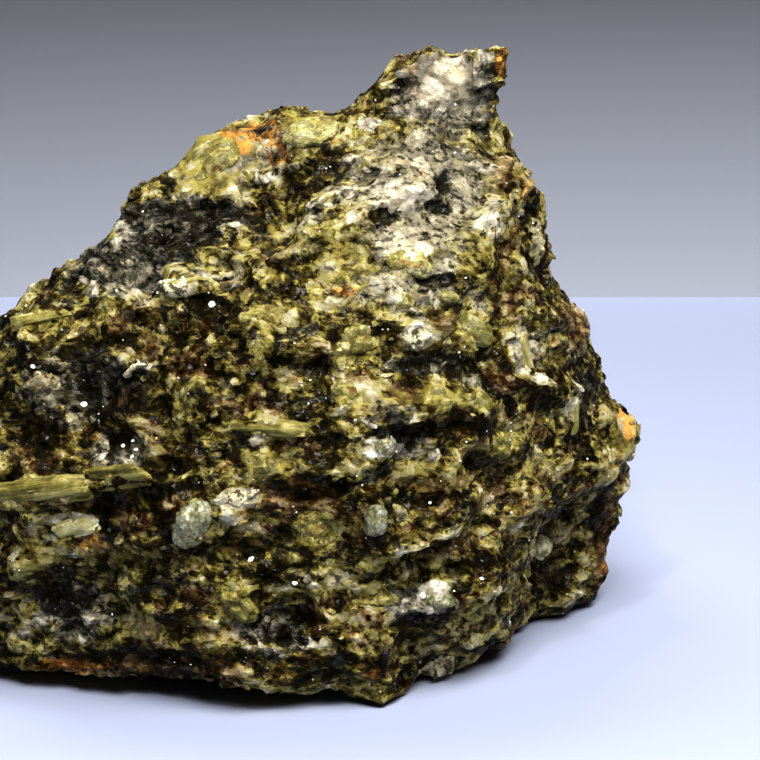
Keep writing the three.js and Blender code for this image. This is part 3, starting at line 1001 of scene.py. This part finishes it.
class SPECIMEN_OT_knobs(bpy.types.Operator):
    """Lays the rounded spodumene grains in the rock"""

    bl_idname = "specimen.knobs"
    bl_label = "Spodumene grains"

    def execute(self, context):
        settings = context.scene.specimen_crystals
        blank = broken_shape(
            "spodumene_grains", lambda: bpy.ops.mesh.primitive_ico_sphere_add(subdivisions=3, radius=1),
            [
                ((0.7, 0.2, 0.5), (1.0, 0.2, 0.6)),
                ((-0.7, 0.4, 0.2), (-1.0, 0.7, 0.3)),
                ((0.0, -0.75, 0.3), (0.2, -1.0, 0.3)),
                ((0.1, 0.1, 0.75), (-0.2, 0.2, 1.0)),
            ])
        group = raised_group("Knobbly", "local", knobbly_relief)
        piece = lay_crystals("spodumene_grains", blank, KNOBS, group, settings)
        material = crystal_material(
            "Spodumene grains", spodumene_stops(settings), 0.45, 0.5, 0.4, streaky=0.6)
        finish_piece(piece, material)
        return {"FINISHED"}


class SPECIMEN_OT_blocks(bpy.types.Operator):
    """Lays the cream and white feldspar blocks in the rock"""

    bl_idname = "specimen.blocks"
    bl_label = "Feldspar blocks"

    def execute(self, context):
        settings = context.scene.specimen_crystals
        blank = broken_shape("feldspar_blocks", lambda: bpy.ops.mesh.primitive_cube_add(size=2), [
            ((0.7, 0.6, 0.2), (1.0, 0.8, 0.3)),
            ((-0.75, 0.6, 0.3), (-1.0, 0.7, 0.5)),
            ((-0.7, -0.7, 0.2), (-0.8, -1.0, 0.2)),
            ((0.7, -0.65, 0.3), (0.7, -1.0, 0.4)),
            ((0.2, 0.2, 0.9), (0.15, -0.2, 1.0)),
        ], 0.08)
        group = raised_group("Cleavage", "local", cleavage_relief)
        piece = lay_crystals("feldspar_blocks", blank, BLOCKS, group, settings)
        cream = settings.feldspar
        stops = [
            (0.15, (0.08, 0.058, 0.025)), (0.38, (0.31, 0.24, 0.12)), (0.60, cream),
            (0.85, (0.73, 0.68, 0.48)), (1.00, (0.88, 0.85, 0.70)),
        ]
        material = crystal_material("Feldspar", stops, 0.38, 0.4, 0.9, coat=0.1)
        finish_piece(piece, material)
        return {"FINISHED"}


class SPECIMEN_OT_glassy_grains(bpy.types.Operator):
    """Lays the large rounded quartz grains in the rock"""

    bl_idname = "specimen.glassy_grains"
    bl_label = "Glassy grains"

    def execute(self, context):
        settings = context.scene.specimen_crystals
        blank = broken_shape(
            "quartz_grains", lambda: bpy.ops.mesh.primitive_ico_sphere_add(subdivisions=3, radius=1), [
                ((0.75, 0.2, 0.3), (1.0, 0.3, 0.5)),
                ((-0.6, 0.5, 0.3), (-0.8, 0.8, 0.4)),
                ((0.1, -0.75, 0.2), (0.1, -1.0, 0.3)),
            ])
        group = raised_group("Glassy", "local", glassy_relief)
        piece = lay_crystals("quartz_grains", blank, GRAINS, group, settings)
        # The near-white top stop paints white specks where the streaks and clouds run high: painted glints.
        stops = [
            (0.20, (0.06, 0.058, 0.022)), (0.42, (0.19, 0.185, 0.085)), (0.58, settings.quartz),
            (0.72, (0.62, 0.61, 0.46)), (0.80, (0.92, 0.91, 0.82)),
        ]
        material = crystal_material(
            "Quartz", stops, 0.10, 1.0, 0.3, streaky=0.9, transmission=0.35, coat=0.6, grooves=0.6)
        finish_piece(piece, material, 60)
        return {"FINISHED"}


# Small grains


def small_shapes():
    """Four low broken grains, about 2 across, for copying in hundreds."""
    draw = random.Random(11)
    shapes = []
    for index in range(4):
        cuts = []
        for _ in range(5):
            outward = Vector((draw.gauss(0, 1), draw.gauss(0, 1), draw.gauss(0, 1))).normalized()
            cuts.append((outward * draw.uniform(0.55, 0.8), outward))
        add = lambda: bpy.ops.mesh.primitive_ico_sphere_add(subdivisions=2, radius=1)
        shapes.append(broken_shape(f"small_grain_{index}", add, cuts))
    return shapes


def scatter_group(name, shapes, half_width, seed, per_area, mask, gain):
    """Sets small grains into the rock, more of them where the mask is strong."""
    group, graph, start, end = geometry_group(name)
    rock = graph.node("GeometryNodeObjectInfo", {"Object": bpy.data.objects["rock_surface"]})
    share = graph.node("GeometryNodeInputNamedAttribute", {"Name": mask}).outputs[0]
    smooth = graph.node("GeometryNodeInputNamedAttribute", {"Name": "smooth"}).outputs[0]
    position = graph.node("GeometryNodeInputPosition").outputs[0]
    height = graph.node("ShaderNodeSeparateXYZ", {0: position}).outputs["Z"]
    density = graph.math("MULTIPLY_ADD", share, gain, per_area)
    density = graph.math("MULTIPLY", density, graph.ease(height, 3 * MM, 3.5 * MM))
    density = graph.math("MULTIPLY", density, graph.ease(smooth, 0.2, 0.8, 1.0, 0.1))
    points = graph.node("GeometryNodeDistributePointsOnFaces", {
        "Mesh": rock.outputs["Geometry"], "Density": density, "Seed": seed,
    })
    pool = graph.node("GeometryNodeJoinGeometry")
    for shape in shapes:
        info = graph.node("GeometryNodeObjectInfo", {"Object": shape, "As Instance": True})
        graph.set(pool.inputs[0], info.outputs["Geometry"])

    def chance(low, high, salt, kind="FLOAT"):
        node = graph.node("FunctionNodeRandomValue", {"Seed": seed + salt}, data_type=kind)
        first, result = {"FLOAT_VECTOR": (0, 0), "FLOAT": (2, 1), "INT": (4, 2)}[kind]
        node.inputs[first].default_value = low
        node.inputs[first + 1].default_value = high
        return node.outputs[result]

    spin = graph.node("FunctionNodeEulerToRotation", {
        0: chance((-0.35, -0.35, 0), (0.35, 0.35, math.tau), 1, "FLOAT_VECTOR"),
    })
    turn = graph.node("FunctionNodeRotateRotation", {
        0: points.outputs["Rotation"], 1: spin.outputs[0],
    }, rotation_space="LOCAL")
    shape_size = chance((0.8, 0.6, 0.30), (1.5, 1.0, 0.55), 2, "FLOAT_VECTOR")
    size = graph.math("MULTIPLY", half_width, graph.math("POWER", chance(0.55, 1.25, 3), 1.6))
    placed = graph.node("GeometryNodeInstanceOnPoints", {
        "Points": points.outputs["Points"], "Instance": pool.outputs[0], "Pick Instance": True,
        "Instance Index": chance(0, len(shapes) - 1, 4, "INT"), "Rotation": turn.outputs[0],
        "Scale": graph.vector("SCALE", shape_size, scale=size),
    })
    tinted = kept_as(graph, placed.outputs[0], "tint", chance(-0.5, 0.5, 5), "FLOAT", "INSTANCE")
    real = graph.node("GeometryNodeRealizeInstances", {"Geometry": tinted})
    graph.set(end.inputs[0], kept_as(graph, real.outputs[0], "rest", position))
    return group


# Each kind of small grain: slot, seed, grains for each square metre, the colour spots that have
# more, how many more, paleness, hue family and gloss.
SMALL_GRAINS = {
    "small_olive_grains": ("spodumene", 3, 14000, "olive", 16000, 0.05, 0.50, 0.4),
    "small_cream_grains": ("feldspar", 5, 6000, "bright", 16000, 0.10, 0.62, 0.4),
    # The dark grains gather more thickly in the dark places, which are partly painted shade.
    "small_dark_grains": ("rock", 8, 14000, "dark", 16000, -0.08, 0.45, 0.8),
}


class SPECIMEN_OT_small_grains(bpy.types.Operator):
    """Scatters the small olive, cream and dark grains over the rock"""

    bl_idname = "specimen.small_grains"
    bl_label = "Small grains"

    def execute(self, context):
        settings = context.scene.specimen_rock
        half_width = context.scene.specimen_crystals.small_grain
        shapes = small_shapes()
        for name, (slot, seed, per_area, mask, gain, shift, hues, coat) in SMALL_GRAINS.items():
            mesh = bpy.data.meshes.new(name)
            piece = bpy.data.objects.new(name, mesh)
            context.scene.collection.objects.link(piece)
            use_group(piece, scatter_group(name, shapes, half_width, seed, per_area, mask, gain))
            material = grainy_material(name, settings, shift, hues, coat)
            finish_piece(piece, material, 35)
        for shape in shapes:
            remove(shape)
        return {"FINISHED"}


# Mica flakes

# The flakes that catch the light: across and down in the photograph's pixels and half width in mm.
BRIGHT_FLAKES = {
    "brow": (212, 305, 0.75),
    "left_high": (33, 367, 0.55),
    "left": (84, 405, 0.75),
    "crack": (123, 446, 0.45),
    "crack_high": (133, 441, 0.45),
    "crack_low": (132, 457, 0.50),
    "crack_right": (136, 450, 0.50),
    "wall": (253, 373, 0.55),
    "low": (251, 560, 0.80),
    "low_right": (295, 583, 0.65),
    "front": (423, 596, 0.75),
    "front_right": (482, 579, 0.55),
    "band": (362, 485, 0.30),
    "below_band": (430, 503, 0.35),
    "roof": (335, 133, 0.40),
    "roof_right": (455, 153, 0.30),
    "middle": (460, 461, 0.30),
    "foot": (420, 662, 0.35),
    "glass": (193, 508, 0.35),
    "glass_low": (194, 540, 0.35),
    "glass_right": (371, 528, 0.35),
}
FAINT_FLAKES = 160


def flake_places():
    """Each flake's place on the rock, half width and how far it turns away from the glint."""
    for across, down, half_width in BRIGHT_FLAKES.values():
        yield on_surface(across, down), half_width * MM, 0.0
    draw = random.Random(23)
    for _ in range(FAINT_FLAKES):
        point = on_surface(draw.uniform(5, 620), draw.uniform(60, 690))
        yield point, draw.uniform(0.12, 0.30) * MM, draw.uniform(0.1, 0.6)


def mica_material():
    """Silvery flakes with bronze stains, glossy and a little uneven."""
    material = bpy.data.materials.new("Mica")
    material.use_nodes = True
    tree = material.node_tree
    tree.nodes.clear()
    graph = Graph(tree)
    place = graph.node("ShaderNodeTexCoord").outputs["Object"]
    cloud = graph.noise(place, 0.5 * MM, 3.0, 0.6)
    shade = graph.ramp(cloud, [(0.38, (0.50, 0.44, 0.33)), (0.50, (0.84, 0.83, 0.78))])
    bump = graph.node("ShaderNodeBump", {
        "Height": graph.math("MULTIPLY", cloud, 0.03 * MM), "Distance": 1.0,
    })
    shader = graph.node("ShaderNodeBsdfPrincipled", {
        "Base Color": shade, "Roughness": 0.14, "Normal": bump.outputs[0],
    })
    output = graph.node("ShaderNodeOutputMaterial")
    graph.set(output.inputs["Surface"], shader.outputs[0])
    return material


class SPECIMEN_OT_mica_flakes(bpy.types.Operator):
    """Sets small bright mica flakes in the rock; the largest catch the light towards the front"""

    bl_idname = "specimen.mica_flakes"
    bl_label = "Mica flakes"

    def execute(self, context):
        add = lambda: bpy.ops.mesh.primitive_cylinder_add(vertices=6, radius=1, depth=0.5)
        blank = broken_shape("mica_flakes", add, [((0.6, 0.5, 0), (1.0, 0.7, 0.1))], 0.06)
        draw = random.Random(5)
        copies = []
        for point, half_width, away in flake_places():
            to_lamp = (GLINT_LIGHT - point).normalized()
            to_camera = (VIEWPOINT - point).normalized()
            facing = (to_lamp + to_camera).normalized()
            tilt = Vector((draw.gauss(0, 1), draw.gauss(0, 1), draw.gauss(0, 1))).normalized()
            facing = (facing + tilt * away).normalized()
            piece = own_copy(blank, "mica_flakes")
            piece.matrix_world = (
                Matrix.Translation(point + facing * 0.3 * half_width)
                @ facing.to_track_quat("Z", "Y").to_matrix().to_4x4()
                @ Matrix.Rotation(draw.uniform(0, math.tau), 4, "Z")
                @ Matrix.Diagonal((half_width, half_width * draw.uniform(0.6, 1.0), half_width, 1))
            )
            copies.append(piece)
        pick(*copies)
        bpy.ops.object.transform_apply(location=True, rotation=True, scale=True)
        pick(*copies)
        bpy.ops.object.join()
        remove(blank)
        copies[0].name = copies[0].data.name = "mica_flakes"
        finish_piece(copies[0], mica_material())
        return {"FINISHED"}


# Stage

GLINT_LIGHT = Vector((-0.10, -0.34, 0.60))


def sheet_material(name, low, high, shade_height):
    """A plain surface whose colour may change evenly up to a height, as painted shade; its back is clear."""
    material = bpy.data.materials.new(name)
    material.use_nodes = True
    tree = material.node_tree
    tree.nodes.clear()
    graph = Graph(tree)
    place = graph.node("ShaderNodeTexCoord").outputs["Object"]
    height = graph.node("ShaderNodeSeparateXYZ", {0: place}).outputs["Z"]
    # The colour runs from low at the floor to high at the given height; on the backdrop, painted shade.
    share = graph.node("ShaderNodeMapRange", {"Value": height, "From Max": shade_height}).outputs[0]
    shader = graph.node("ShaderNodeBsdfPrincipled", {
        "Base Color": graph.blend(share, (*low, 1), (*high, 1)), "Roughness": 0.55,
    })
    clear = graph.node("ShaderNodeBsdfTransparent")
    behind = graph.node("ShaderNodeNewGeometry").outputs["Backfacing"]
    sided = graph.node("ShaderNodeMixShader", {0: behind, 1: shader.outputs[0], 2: clear.outputs[0]})
    output = graph.node("ShaderNodeOutputMaterial")
    graph.set(output.inputs["Surface"], sided.outputs[0])
    return material


def add_light(name, at, aim, size, power, shade):
    data = bpy.data.lights.new(name, "AREA")
    data.shape = "RECTANGLE"
    data.size, data.size_y = size
    data.energy = power
    data.color = shade
    lamp = bpy.data.objects.new(name, data)
    lamp.location = at
    lamp.rotation_euler = (Vector(aim) - Vector(at)).to_track_quat("-Z", "Y").to_euler()
    bpy.context.scene.collection.objects.link(lamp)


class SPECIMEN_OT_stage(bpy.types.Operator):
    """Sets the floor, the backdrop, the lights and the camera"""

    bl_idname = "specimen.stage"
    bl_label = "Stage"

    def execute(self, context):
        settings = context.scene.specimen_stage
        floor, back = settings.floor, settings.backdrop
        for name, size, at, turn, low, high in (
            ("floor", 8.0, (0, 0, 0), (0, 0, 0), floor, floor),
            # The backdrop darkens upwards to 0.22 of its colour: painted shade.
            ("backdrop", 2.0, (0, BACKDROP_AT, 1), (math.radians(90), 0, 0), back, [0.22 * v for v in back]),
        ):
            bpy.ops.object.select_all(action="DESELECT")
            bpy.ops.mesh.primitive_plane_add(size=size, location=at, rotation=turn)
            sheet = context.object
            sheet.name = name
            bpy.ops.object.transform_apply(location=True, rotation=True, scale=True)
            sheet.data.materials.append(sheet_material(name, low, high, BACKDROP_SHADE_HEIGHT))

        power = settings.light_power
        add_light("light_above", (0.18, -0.27, 0.62), (0, 0, 0.03), (0.60, 0.40), power, (1, 1, 1))
        add_light("light_small", GLINT_LIGHT, (0, 0, 0.05), (0.05, 0.05), power * 0.10, (1, 1, 1))
        add_light("light_back", (-0.12, 0.22, 0.50), (0, 0.05, 0), (0.40, 0.20), power * 0.18, (1, 1, 1))
        world = bpy.data.worlds.new("Studio")
        world.use_nodes = True
        world.node_tree.nodes["Background"].inputs["Color"].default_value = (0.94, 0.93, 0.92, 1)
        world.node_tree.nodes["Background"].inputs["Strength"].default_value = 0.055
        context.scene.world = world

        data = bpy.data.cameras.new("Camera")
        data.sensor_width = SENSOR_MM
        data.lens = SENSOR_MM * FOCAL_PIXELS / PIXELS_ACROSS
        data.clip_start = 0.01
        camera = bpy.data.objects.new("Camera", data)
        camera.location = VIEWPOINT
        camera.rotation_euler = (math.radians(90) - PITCH, 0, 0)
        context.scene.collection.objects.link(camera)
        context.scene.camera = camera
        context.scene.view_settings.view_transform = "Standard"
        context.scene.view_settings.gamma = 0.76
        return {"FINISHED"}


class SPECIMEN_PT_panel(bpy.types.Panel):
    """Lists the pieces of the specimen and the stage"""

    bl_idname = "SPECIMEN_PT_panel"
    bl_label = "Spodumene specimen"
    bl_space_type = "VIEW_3D"
    bl_region_type = "UI"
    bl_category = "Specimen"

    def draw(self, context):
        scene = context.scene
        for operator in OPERATORS:
            self.layout.operator(operator.bl_idname)
        for settings in (scene.specimen_rock, scene.specimen_crystals, scene.specimen_stage):
            box = self.layout.box()
            for name in settings.__annotations__:
                box.prop(settings, name)


OPERATORS = (
    SPECIMEN_OT_rock_surface,
    SPECIMEN_OT_blades,
    SPECIMEN_OT_knobs,
    SPECIMEN_OT_blocks,
    SPECIMEN_OT_glassy_grains,
    SPECIMEN_OT_small_grains,
    SPECIMEN_OT_mica_flakes,
    SPECIMEN_OT_stage,
)
CLASSES = (RockSettings, CrystalSettings, StageSettings, *OPERATORS, SPECIMEN_PT_panel)


def register():
    for kind in CLASSES:
        bpy.utils.register_class(kind)
    bpy.types.Scene.specimen_rock = PointerProperty(type=RockSettings)
    bpy.types.Scene.specimen_crystals = PointerProperty(type=CrystalSettings)
    bpy.types.Scene.specimen_stage = PointerProperty(type=StageSettings)


def unregister():
    del bpy.types.Scene.specimen_stage
    del bpy.types.Scene.specimen_crystals
    del bpy.types.Scene.specimen_rock
    for kind in reversed(CLASSES):
        bpy.utils.unregister_class(kind)


def main():
    register()
    bpy.ops.specimen.rock_surface()
    bpy.ops.specimen.blades()
    bpy.ops.specimen.knobs()
    bpy.ops.specimen.blocks()
    bpy.ops.specimen.glassy_grains()
    bpy.ops.specimen.small_grains()
    bpy.ops.specimen.mica_flakes()
    bpy.ops.specimen.stage()


if __name__ == "__main__":
    main()
